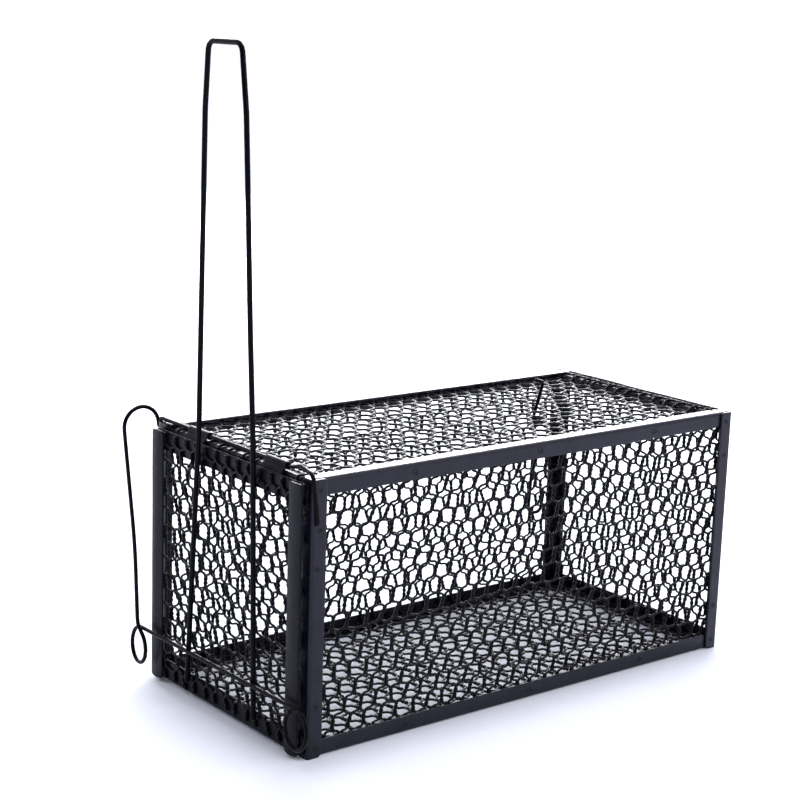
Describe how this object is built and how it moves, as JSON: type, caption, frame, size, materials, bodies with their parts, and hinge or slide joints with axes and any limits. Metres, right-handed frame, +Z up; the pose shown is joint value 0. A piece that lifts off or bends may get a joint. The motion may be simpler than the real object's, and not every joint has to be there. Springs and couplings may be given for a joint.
{
  "type": "live catch trap",
  "caption": "Wire netting cage trap with a welded angle steel frame, a spring-shut netting door hinged at the top, a tall setting lever and a hanging bait hook.",
  "frame": {"origin": "under the middle of the whole trap, on the surface it stands on, with the door shut", "axes": "+X from the door to the rear end, +Y to the left as seen from the door, +Z up"},
  "size_m": [0.2872, 0.1526, 0.3158],
  "materials": {
    "cage_frame": "gloss black paint",
    "door_frame": "gloss black paint",
    "netting": "satin black paint",
    "wire": "gloss black paint"
  },
  "bodies": {
    "cage": {"front_right_post": "cage_frame", "front_left_post": "cage_frame", "rear_right_post": "cage_frame", "rear_left_post": "cage_frame", "bottom_right_rail": "cage_frame", "top_right_rail": "cage_frame", "bottom_left_rail": "cage_frame", "top_left_rail": "cage_frame", "front_bottom_rail": "cage_frame", "front_top_rail": "cage_frame", "rear_bottom_rail": "cage_frame", "rear_top_rail": "cage_frame", "right_side_mesh": "netting", "left_side_mesh": "netting", "floor_mesh": "netting", "roof_mesh": "netting", "rear_mesh": "netting", "torsion_rod": "wire", "trigger_staple": "wire"},
    "door": {"door_bottom_strip": "door_frame", "door_top_strip": "door_frame", "door_mesh": "netting", "door_right_strip": "door_frame", "door_left_strip": "door_frame", "right_hinge_strap": "door_frame", "left_hinge_strap": "door_frame", "setting_lever": "wire"},
    "bail": {"spring_bail": "wire"},
    "trigger": {"bait_trigger": "wire"}
  },
  "joints": [
    {"name": "door_hinge", "type": "hinge", "parent": "cage", "child": "door", "pos_m": [-0.1234, 0, 0.1312], "axis": [0, 1, 0], "range_deg": [0, 90]},
    {"name": "bail_hinge", "type": "hinge", "parent": "cage", "child": "bail", "pos_m": [-0.1234, 0, 0.1312], "axis": [0, 1, 0], "range_deg": [0, 90], "stiffness_Nm_per_rad": 0.9, "springref_deg": -28.65},
    {"name": "trigger_pivot", "type": "hinge", "parent": "cage", "child": "trigger", "pos_m": [0.0644, 0, 0.1214], "axis": [0, -1, 0], "range_deg": [-12, 18]}
  ],
  "couplings": [
    {"joint": "bail_hinge", "follows": "door_hinge", "ratio": 1}
  ]
}
